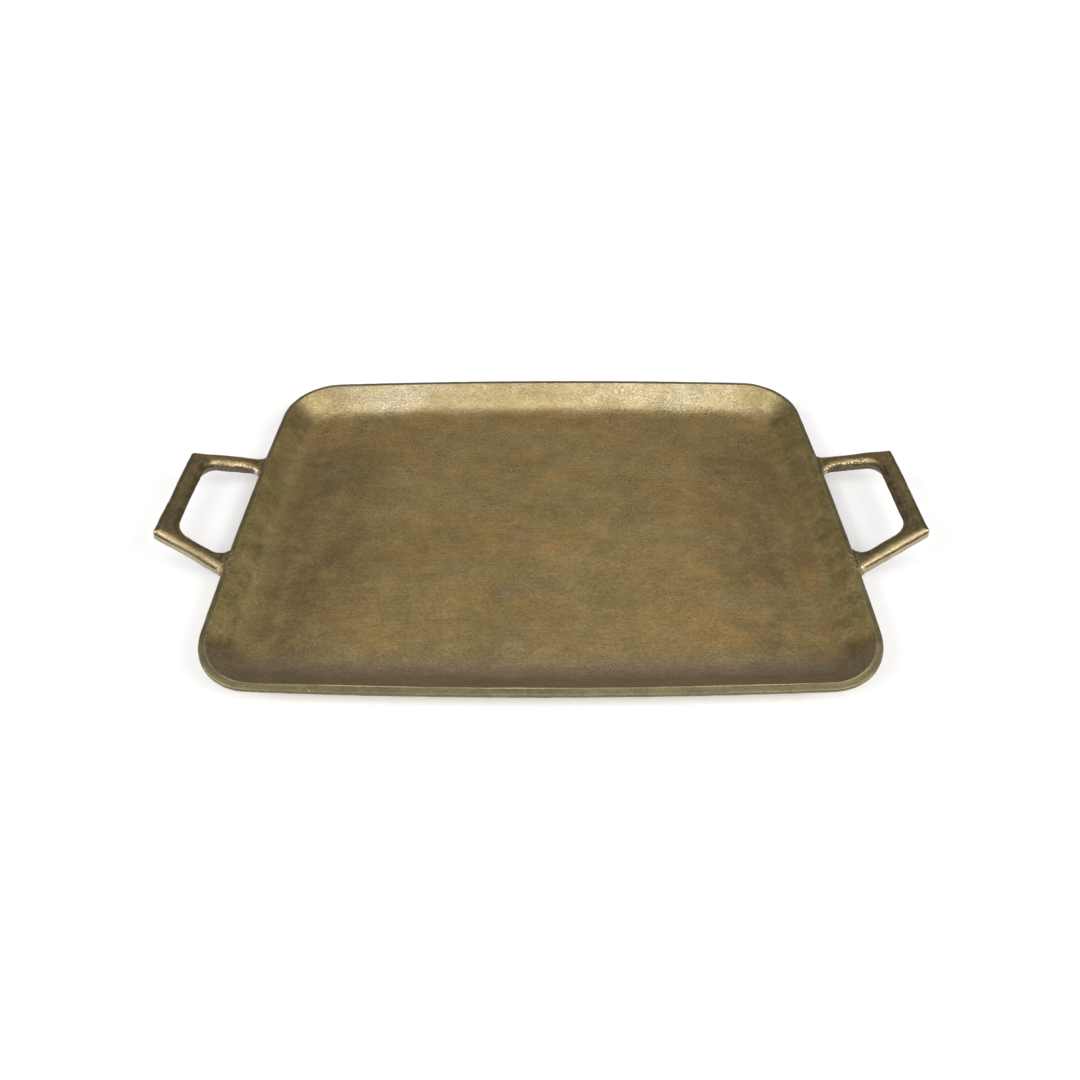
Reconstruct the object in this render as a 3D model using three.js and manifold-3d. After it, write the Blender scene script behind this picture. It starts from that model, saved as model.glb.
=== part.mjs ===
// Brass serving tray: a shallow cast pan with two raised grip handles.
// Units are millimetres, +Z is up and the tray stands on z = 0.
// X runs from handle to handle, Y across the tray, origin under the middle of the base.
import * as THREE from "three";
import { mergeVertices } from "three/addons/utils/BufferGeometryUtils.js";
import Module from "manifold-3d";

const wasm = await Module();
wasm.setup();

// ---- sizes of the pan -------------------------------------------------------
const overallLength = 470;      // handle tip to handle tip
const panLength = 385.4;        // rim to rim along X
const panWidth = 267;           // rim to rim along Y
const cornerRadius = 37.7;      // plan radius of the four rim corners
const endBow = 3;               // outward bow of the two short sides
const sideBow = 5;              // outward bow of the two long sides
const floorThickness = 3;       // metal under the well
const wellDepth = 15.5;         // floor of the well up to the rim crest
const wallThickness = 3.2;      // flared wall, measured square to it
const wallAngle = 45;           // degrees up from the floor
const coveRadius = 20;          // inside curve from floor to wall
const heelRadius = 10;          // outside curve from base to wall
const rimWidth = 4.4;           // sloping band between crest and outer edge
const rimFall = 0.9;            // how far that band falls before the bullnose
const rimNoseRadius = 1.5;      // upper round of the outer edge
const rimEdgeHeight = 3.4;      // crest down to the underside of the rim edge
const rimUnderRadius = 0.9;     // lower round of the outer edge
const crestRadius = 0.5;        // worn top edge of the wall

// ---- sizes of the handles ---------------------------------------------------
const barThickness = 10;        // handle section, square to the handle plane
const gripWidth = 11.2;         // outer bar, in the handle plane
const armWidth = 9.6;           // two side arms, in the handle plane
const armSpreadAtRim = 91.5;    // arm centre to arm centre beside the rim
const armSpreadAtGrip = 63.9;   // arm centre to arm centre at the grip
const handleAngle = 28.2;       // degrees the handles rise outwards
const rootDrop = 8.6;           // arm centre below the rim crest, at the rim
const crownRadius = 5.5;        // domed top of the handle section
const crownFlat = 4.7;          // where the dome starts, in from the bar's edge
const shoulderInset = 0.1;      // where the dome ends at the worn shoulder
const shoulderRound = 0.5;      // worn shoulder between dome and side
const creaseHeight = 1.6;       // side crease above the middle of the section
const underTaper = 0.8;         // draft of the sides below that crease
const underRounding = 1.4;      // rounded lower edges of the section
const outerCornerRadius = 2.5;  // outer corners of the handle
const innerCornerRadius = 11;   // soft inner corners of the finger hole
const sharpestRound = 0.3;      // smallest round left where a corner is inset

// ---- sizes of the four brazed joints ----------------------------------------
const jointLength = 7;          // rim edge to the cut end of the arm
const jointReach = 14;          // how far a joint runs in under the rim
const innerShoulder = 21;       // extra width of a joint towards the finger hole
const outerShoulder = 12.5;     // extra width of a joint away from the finger hole
const outerFillet = 6.4;        // fillet outside the handle
const innerFillet = 8.6;        // fillet inside the finger hole
const jointTailRadius = 7;      // rounded inner corners of a joint, under the rim
const underClearance = 2.5;     // joint underside above the table
const jointGap = 0.3;           // working gap at every joint face

// ---- worked-out values ------------------------------------------------------
const radians = Math.PI / 180;
const rimHeight = floorThickness + wellDepth;
const halfLength = panLength / 2;
const tipX = overallLength / 2;

// ---- finishes ---------------------------------------------------------------
function brass(colour, roughness) {
  return new THREE.MeshStandardMaterial({ color: colour, roughness, metalness: 1 });
}

// ---- plain helpers ----------------------------------------------------------
// The points of an outline through the given corners, each one rounded by its own
// radius. A rounded corner always gives the same number of points.
function roundedOutline(corners, steps) {
  const points = [];
  corners.forEach((corner, index) => {
    const before = corners[(index + corners.length - 1) % corners.length];
    const after = corners[(index + 1) % corners.length];
    points.push(...cornerPoints(before, corner, after, steps));
  });
  return points;
}

function cornerPoints(before, corner, after, steps) {
  const here = new THREE.Vector2(corner.x, corner.y);
  if (!corner.r) return [here];
  const back = new THREE.Vector2(before.x, before.y).sub(here).normalize();
  const ahead = new THREE.Vector2(after.x, after.y).sub(here).normalize();
  const half = Math.acos(THREE.MathUtils.clamp(back.dot(ahead), -1, 1)) / 2;
  const tangent = corner.r / Math.tan(half);
  const start = here.clone().addScaledVector(back, tangent);
  const end = here.clone().addScaledVector(ahead, tangent);
  const toCentre = back.clone().add(ahead).normalize();
  const centre = here.clone().addScaledVector(toCentre, corner.r / Math.sin(half));
  const clockwise = back.cross(ahead) > 0;
  const from = start.sub(centre).angle();
  const to = end.sub(centre).angle();
  const round = new THREE.EllipseCurve(centre.x, centre.y, corner.r, corner.r, from, to, clockwise);
  return round.getPoints(steps);
}

// The same corners with every edge moved inwards. The outline runs anticlockwise,
// so outer rounds shrink and inner rounds grow.
function insetCorners(corners, inset) {
  return corners.map((corner, index) => {
    const before = corners[(index + corners.length - 1) % corners.length];
    const after = corners[(index + 1) % corners.length];
    const into = new THREE.Vector2(corner.x - before.x, corner.y - before.y).normalize();
    const away = new THREE.Vector2(after.x - corner.x, after.y - corner.y).normalize();
    const turn = into.cross(away);
    const shift = inset * Math.tan(Math.acos(THREE.MathUtils.clamp(into.dot(away), -1, 1)) / 2);
    const square = new THREE.Vector2(-into.y, into.x);
    const slide = turn > 0 ? -shift : shift;
    const x = corner.x + square.x * inset + into.x * slide;
    const y = corner.y + square.y * inset + into.y * slide;
    const least = corner.r ? sharpestRound : 0;
    const r = corner.r ? Math.max(corner.r + (turn > 0 ? -inset : inset), least) : 0;
    return { x, y, r };
  });
}

// ---- plan outline of the pan ------------------------------------------------
// Four shallow side arcs and four corner arcs, all tangent. An inset keeps every
// centre and shortens every radius, so inner outlines stay true offsets.
const sideRadius = (halfLength ** 2 + sideBow ** 2) / (2 * sideBow);
const endRadius = ((panWidth / 2) ** 2 + endBow ** 2) / (2 * endBow);
const sideCentre = new THREE.Vector2(0, panWidth / 2 - sideRadius);
const endCentre = new THREE.Vector2(halfLength - endRadius, 0);
const cornerCentre = commonCornerCentre();
const sideTurn = cornerCentre.clone().sub(sideCentre).angle();
const endTurn = cornerCentre.clone().sub(endCentre).angle();
const sideSteps = 16;
const endSteps = 12;
const cornerSteps = 9;

// The corner circle touches one side arc and one end arc from inside.
function commonCornerCentre() {
  const fromSide = sideRadius - cornerRadius;
  const fromEnd = endRadius - cornerRadius;
  const between = endCentre.clone().sub(sideCentre);
  const span = between.length();
  const along = (fromSide ** 2 - fromEnd ** 2 + span ** 2) / (2 * span);
  const off = Math.sqrt(fromSide ** 2 - along ** 2);
  const axis = between.divideScalar(span);
  const square = new THREE.Vector2(axis.y, -axis.x);
  return sideCentre.clone().addScaledVector(axis, along).addScaledVector(square, off);
}

function arcPoints(centre, radius, from, to, steps) {
  const path = new THREE.Path();
  path.absarc(centre.x, centre.y, radius, from, to, false);
  return path.getSpacedPoints(steps).slice(0, steps);
}

function panOutline(inset) {
  const flip = (point, sx, sy) => new THREE.Vector2(point.x * sx, point.y * sy);
  const rightEnd = arcPoints(endCentre, endRadius - inset, -endTurn, endTurn, endSteps);
  const corner = arcPoints(cornerCentre, cornerRadius - inset, endTurn, sideTurn, cornerSteps);
  const farSide = arcPoints(sideCentre, sideRadius - inset, sideTurn, Math.PI - sideTurn, sideSteps);
  const cornerEnd = cornerCentre.clone();
  cornerEnd.x += (cornerRadius - inset) * Math.cos(sideTurn);
  cornerEnd.y += (cornerRadius - inset) * Math.sin(sideTurn);
  const cornerBack = [...corner.slice(1), cornerEnd].reverse().map((point) => flip(point, -1, 1));
  const half = [...rightEnd, ...corner, ...farSide, ...cornerBack];
  const leftEnd = rightEnd.map((point) => flip(point, -1, -1));
  const rest = [...corner, ...farSide, ...cornerBack].map((point) => flip(point, -1, -1));
  return [...half, ...leftEnd, ...rest];
}

// ---- lofting a profile round an outline -------------------------------------
// Each profile point is (inset from the outline, height), and the outline may change
// with both. The first ring is the upper one, and flat caps close the first and last.
function loftRings(outlineAt, profile) {
  const rings = profile.map((point) => outlineAt(point.x, point.y));
  const count = rings[0].length;
  const positions = [];
  rings.forEach((ring, level) => {
    ring.forEach((point) => positions.push(point.x, point.y, profile[level].y));
  });
  const faces = [];
  for (let level = 0; level < rings.length - 1; level += 1) {
    for (let step = 0; step < count; step += 1) {
      const next = (step + 1) % count;
      const a = level * count + step;
      const b = level * count + next;
      const c = (level + 1) * count + next;
      const d = (level + 1) * count + step;
      faces.push(a, c, b, a, d, c);
    }
  }
  const last = (rings.length - 1) * count;
  THREE.ShapeUtils.triangulateShape(rings[0], []).forEach(([a, b, c]) => faces.push(a, b, c));
  THREE.ShapeUtils.triangulateShape(rings[rings.length - 1], []).forEach(([a, b, c]) => {
    faces.push(last + a, last + c, last + b);
  });
  const geometry = new THREE.BufferGeometry();
  geometry.setAttribute("position", new THREE.Float32BufferAttribute(positions, 3));
  geometry.setIndex(faces);
  return geometry;
}

// ---- wall profile -----------------------------------------------------------
// Listed from the well floor over the rim and down to the base.
const slope = new THREE.Vector2(Math.cos(wallAngle * radians), Math.sin(wallAngle * radians));
const wallRun = wellDepth * slope.x / slope.y;
const wallShift = wallThickness / slope.y;
const floorInset = rimWidth + wallRun;
const coveInset = floorInset + coveRadius * Math.tan(wallAngle * radians / 2) + 1;
const heelInset = floorInset + floorThickness * slope.x / slope.y - wallShift;
const baseInset = heelInset + heelRadius * Math.tan(wallAngle * radians / 2) + 1;

function outerWallCorners() {
  const underHeight = rimHeight - rimEdgeHeight;
  const onWall = heelInset - underHeight * slope.x / slope.y;
  return [
    { x: 0, y: rimHeight - rimFall, r: rimNoseRadius },
    { x: 0, y: underHeight, r: rimUnderRadius },
    { x: onWall, y: underHeight, r: 0 },
    { x: heelInset, y: 0, r: heelRadius },
    { x: baseInset, y: 0, r: 0 },
  ];
}

function panProfile() {
  const corners = [
    { x: coveInset, y: floorThickness, r: 0 },
    { x: floorInset, y: floorThickness, r: coveRadius },
    { x: rimWidth, y: rimHeight, r: crestRadius },
    ...outerWallCorners(),
  ];
  return roundedOutline(corners, 5);
}

// The pan filled solid up to its rim and grown by the joint gap: what the handles
// and joints have to stay clear of.
function panEnvelope() {
  const corners = [{ x: rimWidth, y: rimHeight, r: 0 }, ...outerWallCorners()];
  const profile = roundedOutline(corners, 5);
  const grown = profile.map((point, index) => {
    const before = profile[Math.max(index - 1, 0)];
    const after = profile[Math.min(index + 1, profile.length - 1)];
    const along = after.clone().sub(before).normalize();
    const outward = new THREE.Vector2(along.y, -along.x);
    if (index === profile.length - 1) outward.set(0, -1);
    return point.clone().addScaledVector(outward, jointGap);
  });
  return loftRings(panOutline, grown);
}

// ---- solids -----------------------------------------------------------------
function toSolid(geometry) {
  const bare = geometry.clone();
  bare.deleteAttribute("normal");
  bare.deleteAttribute("uv");
  const welded = mergeVertices(bare, 1e-5);
  const source = { numProp: 3 };
  source.vertProperties = new Float32Array(welded.attributes.position.array);
  source.triVerts = new Uint32Array(welded.index.array);
  return new wasm.Manifold(new wasm.Mesh(source));
}

function toMesh(solid, name, material) {
  const shared = solid.getMesh();
  const geometry = new THREE.BufferGeometry();
  const positions = new THREE.Float32BufferAttribute(shared.vertProperties, 3);
  geometry.setAttribute("position", positions);
  geometry.setIndex(new THREE.BufferAttribute(shared.triVerts, 1));
  geometry.computeVertexNormals();
  const mesh = new THREE.Mesh(geometry, material);
  mesh.name = name;
  return mesh;
}

// ---- handle plane -----------------------------------------------------------
// Handle outlines are drawn flat: x outwards from the rim, y across the tray.
const rootX = halfLength - 1;
const handleTilt = handleAngle * radians;
const barSection = barSectionLine();
const gripReach = Math.max(...barSection.map((point) => reachOf(point)));
const gripCentreOut = (tipX - gripReach - rootX) / Math.cos(handleTilt);
const armLean = Math.atan2((armSpreadAtRim - armSpreadAtGrip) / 2, gripCentreOut);
const rimLine = 1 / Math.cos(handleTilt);

// The handle section from the middle of its top to the middle of its underside,
// as (inset from the bar's edge, height above the handle plane): a domed top, a worn
// shoulder, a side with a crease halfway down and a rounded underside.
function barSectionLine() {
  const half = barThickness / 2;
  const turn = Math.asin((crownFlat - shoulderInset) / crownRadius);
  const dome = [0, 1, 2, 3, 4].map((step) => {
    const angle = turn * step / 5;
    const drop = crownRadius * (1 - Math.cos(angle));
    return { x: crownFlat - crownRadius * Math.sin(angle), y: half - drop, r: 0 };
  });
  const shoulderHeight = half - crownRadius * (1 - Math.cos(turn));
  const corners = [
    ...dome,
    { x: shoulderInset, y: shoulderHeight, r: shoulderRound },
    { x: 0, y: creaseHeight, r: 0 },
    { x: underTaper, y: -half, r: underRounding },
    { x: crownFlat, y: -half, r: 0 },
  ];
  return roundedOutline(corners, 2);
}

// How far a point of the grip's section lies beyond its centre, level with the table.
function reachOf(point) {
  return (gripWidth / 2 - point.x) * Math.cos(handleTilt) - point.y * Math.sin(handleTilt);
}

// One handle with its arms and joints, all of one section, laid into the handle plane.
function handleLump(side) {
  const outlineAt = (inset, height) => roundedOutline(insetCorners(handleCorners(height), inset), 6);
  return intoHandlePlane(loftRings(outlineAt, barSection), side);
}

// A plain block across the handle plane between two distances out from the root.
function planeBlock(from, to, side) {
  const block = new THREE.BoxGeometry(to - from, 2 * panWidth, 2 * panWidth);
  block.translate((from + to) / 2, 0, 0);
  return intoHandlePlane(block, side);
}

function intoHandlePlane(geometry, side) {
  geometry.rotateY(-handleTilt);
  geometry.translate(rootX, 0, rimHeight - rootDrop);
  if (side < 0) geometry.rotateZ(Math.PI);
  return geometry;
}

// Arm edge across the tray, at a distance out along the handle plane.
function armEdge(out, towardsOutside) {
  const centre = armSpreadAtRim / 2 - out * Math.tan(armLean);
  const half = armWidth / 2 / Math.cos(armLean);
  return centre + (towardsOutside ? half : -half);
}

function mirrorAcross(corners) {
  return corners.map((corner) => ({ ...corner, y: -corner.y })).reverse();
}

// The outline of a handle with its two joints: arms that spread under the rim with a
// fillet each side. The rim line shifts with height, so the fillets stand upright.
function handleCorners(height) {
  const rim = rimLine + height * Math.tan(handleTilt);
  const inward = rim - jointReach;
  const tip = gripCentreOut + gripWidth / 2;
  const hole = gripCentreOut - gripWidth / 2;
  const insideEdge = armEdge(rim, false);
  const outsideEdge = armEdge(rim, true);
  const rearHalf = [
    { x: hole, y: armEdge(hole, false), r: innerCornerRadius },
    { x: rim, y: insideEdge, r: innerFillet },
    { x: rim, y: insideEdge - innerShoulder, r: 0 },
    { x: inward, y: insideEdge - innerShoulder, r: jointTailRadius },
    { x: inward, y: outsideEdge + outerShoulder, r: jointTailRadius },
    { x: rim, y: outsideEdge + outerShoulder, r: 0 },
    { x: rim, y: outsideEdge, r: outerFillet },
    { x: tip, y: armEdge(tip, true), r: outerCornerRadius },
  ];
  return [...rearHalf, ...mirrorAcross(rearHalf)].reverse();
}

// ---- building ---------------------------------------------------------------
const panBrass = brass(0x8a7444, 0.5);
const handleBrass = brass(0x97804c, 0.38);
const jointBrass = brass(0x7f6848, 0.62);

const tray = new THREE.Group();
tray.name = "brass_tray";
const envelope = toSolid(panEnvelope());
const headroom = new THREE.BoxGeometry(2 * overallLength, 2 * panWidth, 4 * rimHeight);
headroom.translate(0, 0, 2 * rimHeight + underClearance);
const aboveTable = toSolid(headroom);

tray.add(toMesh(toSolid(loftRings(panOutline, panProfile())), "tray_pan", panBrass));

for (const [side, sideName] of [[-1, "left"], [1, "right"]]) {
  const cut = rimLine + jointLength;
  const lump = toSolid(handleLump(side));
  const handle = lump.intersect(toSolid(planeBlock(cut, overallLength, side)));
  const roots = lump.intersect(toSolid(planeBlock(-overallLength, cut - jointGap, side)));
  tray.add(toMesh(handle, `handle_${sideName}`, handleBrass.clone()));
  for (const [across, acrossName] of [[1, "rear"], [-1, "front"]]) {
    const half = new THREE.BoxGeometry(2 * overallLength, panWidth, 2 * panWidth);
    half.translate(0, across * panWidth / 2, 0);
    const joint = roots.intersect(toSolid(half)).intersect(aboveTable).subtract(envelope);
    tray.add(toMesh(joint, `joint_${sideName}_${acrossName}`, jointBrass.clone()));
  }
}

export default tray;
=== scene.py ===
"""Looks of the brass serving tray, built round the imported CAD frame. Units are metres."""

import math

import bmesh
import bpy
import numpy as np
from mathutils import Matrix, Vector


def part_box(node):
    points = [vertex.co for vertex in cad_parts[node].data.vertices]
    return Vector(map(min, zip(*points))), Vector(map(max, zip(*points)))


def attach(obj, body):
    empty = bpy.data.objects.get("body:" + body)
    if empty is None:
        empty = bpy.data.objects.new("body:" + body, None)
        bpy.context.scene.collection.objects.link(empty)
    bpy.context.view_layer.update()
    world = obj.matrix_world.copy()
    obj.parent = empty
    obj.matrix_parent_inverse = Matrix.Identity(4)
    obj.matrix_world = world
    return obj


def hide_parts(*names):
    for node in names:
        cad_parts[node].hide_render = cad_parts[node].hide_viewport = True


MM = 0.001

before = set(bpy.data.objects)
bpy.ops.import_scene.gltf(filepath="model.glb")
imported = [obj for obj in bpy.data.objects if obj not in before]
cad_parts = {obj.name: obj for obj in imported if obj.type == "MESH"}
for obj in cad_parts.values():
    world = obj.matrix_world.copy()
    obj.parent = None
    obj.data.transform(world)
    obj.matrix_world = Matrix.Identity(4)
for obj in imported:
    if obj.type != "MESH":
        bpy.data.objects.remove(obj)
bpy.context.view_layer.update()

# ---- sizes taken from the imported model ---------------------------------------
pan_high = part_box("tray_pan")[1]
HALF_LENGTH = pan_high.x
HALF_WIDTH = pan_high.y
RIM_HEIGHT = pan_high.z
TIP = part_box("handle_right")[1].x

# ---- sizes of the pan, as in the CAD model ------------------------------------
CORNER_RADIUS = 37.7 * MM
END_BOW = 3 * MM
SIDE_BOW = 5 * MM
FLOOR_THICKNESS = 3 * MM
WALL_THICKNESS = 3.2 * MM
WALL_ANGLE = math.radians(45)
COVE_RADIUS = 20 * MM
HEEL_RADIUS = 10 * MM
RIM_WIDTH = 4.4 * MM
RIM_FALL = 0.9 * MM
RIM_NOSE = 1.5 * MM
RIM_EDGE = 3.4 * MM
RIM_UNDER = 0.9 * MM
CREST_RADIUS = 0.5 * MM

# ---- sizes of the handles and joints, as in the CAD model ----------------------
BAR_THICKNESS = 10 * MM
GRIP_WIDTH = 11.2 * MM
ARM_WIDTH = 9.6 * MM
SPREAD_AT_RIM = 91.5 * MM
SPREAD_AT_GRIP = 63.9 * MM
HANDLE_ANGLE = math.radians(28.2)
ROOT_DROP = 8.6 * MM
CROWN_RADIUS = 5.5 * MM
CROWN_FLAT = 4.7 * MM
SHOULDER_INSET = 0.1 * MM
SHOULDER_ROUND = 0.5 * MM
CREASE_HEIGHT = 1.6 * MM
CREASE_ROUND = 0.3 * MM
UNDER_TAPER = 0.8 * MM
UNDER_ROUND = 1.4 * MM
OUTER_CORNER = 2.5 * MM
INNER_CORNER = 11 * MM
JOINT_LENGTH = 7 * MM
JOINT_REACH = 14 * MM
INNER_SHOULDER = 21 * MM
OUTER_SHOULDER = 12.5 * MM
OUTER_FILLET = 6.4 * MM
INNER_FILLET = 8.6 * MM
TAIL_RADIUS = 7 * MM
ROOT_INSET = 1 * MM
LEAST_RADIUS = 0.3 * MM

# ---- sizes that only the looks have ----------------------------------------------
JOINT_OVERLAP = 1.2 * MM
SEAM_FILL = 0.34 * MM
HANDLE_STEP = 0.8 * MM
BRAZE_REACH = 8 * MM
EDGE_PULL = 0.12
CREST_WANDER = 0.16 * MM


# ---- smooth random fields --------------------------------------------------------
def field(points, wavelength, seed, waves=28):
    """A smooth random field of spread 1 over an (n, 3) array of points."""
    rng = np.random.default_rng(seed)
    direction = rng.normal(size=(waves, 3))
    direction /= np.linalg.norm(direction, axis=1)[:, None]
    turns = 2 * np.pi / (wavelength * rng.uniform(0.7, 1.5, waves))
    phase = rng.uniform(0, 2 * np.pi, waves)
    total = np.zeros(len(points))
    for k in range(waves):
        total += np.sin(points @ (direction[k] * turns[k]) + phase[k])
    return total * math.sqrt(2 / waves)


def ring_field(rings, wavelength, seed, waves=28):
    """The same field over a ring grid, with the wavelength in millimetres."""
    return field(rings.reshape(-1, 3), wavelength * MM, seed, waves).reshape(rings.shape[:2])


def smoothstep(low, high, value):
    t = np.clip((value - low) / (high - low), 0, 1)
    return t * t * (3 - 2 * t)


# ---- rounded outlines --------------------------------------------------------------
def rounded(corners, steps):
    """The points of each corner's arc, for (x, y, radius) corners of a closed outline."""
    arcs = []
    for index, corner in enumerate(corners):
        here = np.array(corner[:2])
        radius = corner[2]
        back = np.array(corners[index - 1][:2]) - here
        ahead = np.array(corners[(index + 1) % len(corners)][:2]) - here
        back /= np.linalg.norm(back)
        ahead /= np.linalg.norm(ahead)
        if radius == 0:
            arcs.append(here[None])
            continue
        half = math.acos(np.clip(back @ ahead, -1, 1)) / 2
        start = here + back * radius / math.tan(half)
        end = here + ahead * radius / math.tan(half)
        middle = (back + ahead) / np.linalg.norm(back + ahead)
        centre = here + middle * radius / math.sin(half)
        first = math.atan2(*(start - centre)[::-1])
        last = math.atan2(*(end - centre)[::-1])
        turn = (last - first + math.pi) % (2 * math.pi) - math.pi
        angle = first + turn * np.linspace(0, 1, steps + 1)
        arcs.append(centre + radius * np.stack([np.cos(angle), np.sin(angle)], 1))
    return arcs


def finely(corners, steps):
    """The same arcs with a number of steps of its own for each corner."""
    return [rounded(corners, count)[index] for index, count in enumerate(steps)]


def inset_corners(corners, inset):
    """The same anticlockwise corners with every edge moved inwards."""
    moved = []
    for index, corner in enumerate(corners):
        here = np.array(corner[:2])
        into = here - np.array(corners[index - 1][:2])
        away = np.array(corners[(index + 1) % len(corners)][:2]) - here
        into /= np.linalg.norm(into)
        away /= np.linalg.norm(away)
        convex = into[0] * away[1] - into[1] * away[0] > 0
        shift = inset * math.tan(math.acos(np.clip(into @ away, -1, 1)) / 2)
        place = here + np.array([-into[1], into[0]]) * inset
        place += into * (-shift if convex else shift)
        radius = corner[2]
        if radius:
            radius = max(radius + (-inset if convex else inset), LEAST_RADIUS)
        moved.append((*place, radius))
    return moved


def between(last, following, steps):
    """The points strictly between two others that cut their gap into equal steps."""
    return last + (following - last) * np.linspace(0, 1, steps + 1)[1:-1, None]


def closed_line(arcs, steps):
    """A closed line through arcs, each straight stretch cut into its own number of steps."""
    line = []
    for index, arc in enumerate(arcs):
        line.append(arc)
        line.append(between(arc[-1], arcs[(index + 1) % len(arcs)][0], steps[index]))
    return np.concatenate(line)


def open_line(arcs, steps):
    """An open line through arcs, each straight stretch cut into its own number of steps."""
    line = [arcs[0]]
    for arc, following, count in zip(arcs, arcs[1:], steps):
        line.append(between(arc[-1], following[0], count))
        line.append(following)
    return np.concatenate(line)


# ---- meshes --------------------------------------------------------------------------
def store_marks(mesh, marks, shape):
    """Keep each mark as one float per point."""
    for name, values in marks.items():
        layer = mesh.attributes.new(name, "FLOAT", "POINT")
        layer.data.foreach_set("value", np.broadcast_to(values, shape).astype(np.float32).ravel())


def grid_mesh(name, rings, marks):
    """A closed skin over rings of equal length, capped at both ends, with its marks."""
    levels, count = rings.shape[:2]
    index = np.arange(levels * count).reshape(levels, count)
    here = index[:-1]
    beside = np.roll(here, -1, axis=1)
    below = index[1:]
    across = np.roll(below, -1, axis=1)
    faces = np.stack([here, below, across, beside], axis=-1).reshape(-1, 4).tolist()
    faces.append(index[0].tolist())
    faces.append(index[-1][::-1].tolist())
    mesh = bpy.data.meshes.new(name)
    mesh.from_pydata(rings.reshape(-1, 3).tolist(), [], faces)
    mesh.shade_smooth()
    store_marks(mesh, marks, rings.shape[:2])
    mesh.update()
    return mesh


def add_object(name, mesh):
    thing = bpy.data.objects.new(name, mesh)
    bpy.context.scene.collection.objects.link(thing)
    return thing


def ring_normals(rings):
    """Outward unit normals of a ring grid."""
    along = np.roll(rings, -1, axis=1) - np.roll(rings, 1, axis=1)
    down = np.gradient(rings, axis=0)
    normal = np.cross(down, along)
    return normal / np.maximum(np.linalg.norm(normal, axis=2, keepdims=True), 1e-12)


# ---- the pan ----------------------------------------------------------------------------
class PanOutline:
    """Four bowed side arcs and four corner arcs, all tangent; insets are exact."""

    def __init__(self, side_steps, end_steps, corner_steps):
        side_radius = (HALF_LENGTH**2 + SIDE_BOW**2) / (2 * SIDE_BOW)
        end_radius = (HALF_WIDTH**2 + END_BOW**2) / (2 * END_BOW)
        side = np.array([0, HALF_WIDTH - side_radius])
        end = np.array([HALF_LENGTH - end_radius, 0])
        from_side = side_radius - CORNER_RADIUS
        from_end = end_radius - CORNER_RADIUS
        between = end - side
        span = np.linalg.norm(between)
        axis = between / span
        along = (from_side**2 - from_end**2 + span**2) / (2 * span)
        off = math.sqrt(from_side**2 - along**2)
        corner = side + axis * along + np.array([axis[1], -axis[0]]) * off
        pi = math.pi
        side_turn = math.atan2(*(corner - side)[::-1])
        end_turn = math.atan2(*(corner - end)[::-1])
        arcs = [
            (end, end_radius, -end_turn, end_turn, end_steps),
            (corner, CORNER_RADIUS, end_turn, side_turn, corner_steps),
            (side, side_radius, side_turn, pi - side_turn, side_steps),
            (corner * [-1, 1], CORNER_RADIUS, pi - side_turn, pi - end_turn, corner_steps),
            (end * [-1, 1], end_radius, pi - end_turn, pi + end_turn, end_steps),
            (-corner, CORNER_RADIUS, pi + end_turn, pi + side_turn, corner_steps),
            (side * [1, -1], side_radius, pi + side_turn, 2 * pi - side_turn, side_steps),
            (corner * [1, -1], CORNER_RADIUS, 2 * pi - side_turn, 2 * pi - end_turn, corner_steps),
        ]
        centre, radius, angle = [], [], []
        for middle, size, start, stop, steps in arcs:
            for part in np.arange(steps) / steps:
                centre.append(middle)
                radius.append(size)
                angle.append(start + (stop - start) * part)
        self.centre = np.array(centre, float)
        self.radius = np.array(radius)
        self.out = np.stack([np.cos(angle), np.sin(angle)], 1)
        self.count = len(angle)

    def at(self, inset):
        """Ring of plan points at an inset, a number or one value per point."""
        return self.centre + self.out * (self.radius - inset)[:, None]


def pan_profile():
    """(inset, height) from the cove's foot over the rim to the base's edge."""
    slope = math.tan(WALL_ANGLE)
    well_depth = RIM_HEIGHT - FLOOR_THICKNESS
    floor_inset = RIM_WIDTH + well_depth / slope
    reach = math.tan(WALL_ANGLE / 2)
    under = RIM_HEIGHT - RIM_EDGE
    heel = floor_inset + FLOOR_THICKNESS / slope - WALL_THICKNESS / math.sin(WALL_ANGLE)
    on_wall = heel - under / slope
    corners = [
        (floor_inset + COVE_RADIUS * reach + 1 * MM, FLOOR_THICKNESS, 0),
        (floor_inset, FLOOR_THICKNESS, COVE_RADIUS),
        (RIM_WIDTH, RIM_HEIGHT, CREST_RADIUS),
        (0, RIM_HEIGHT - RIM_FALL, RIM_NOSE),
        (0, under, RIM_UNDER),
        (on_wall, under, 0),
        (heel, 0, HEEL_RADIUS),
        (heel + HEEL_RADIUS * reach + 1 * MM, 0, 0),
    ]
    return open_line(finely(corners, (1, 26, 8, 8, 6, 1, 9, 1)), (2, 24, 7, 2, 3, 14, 2))


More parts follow.
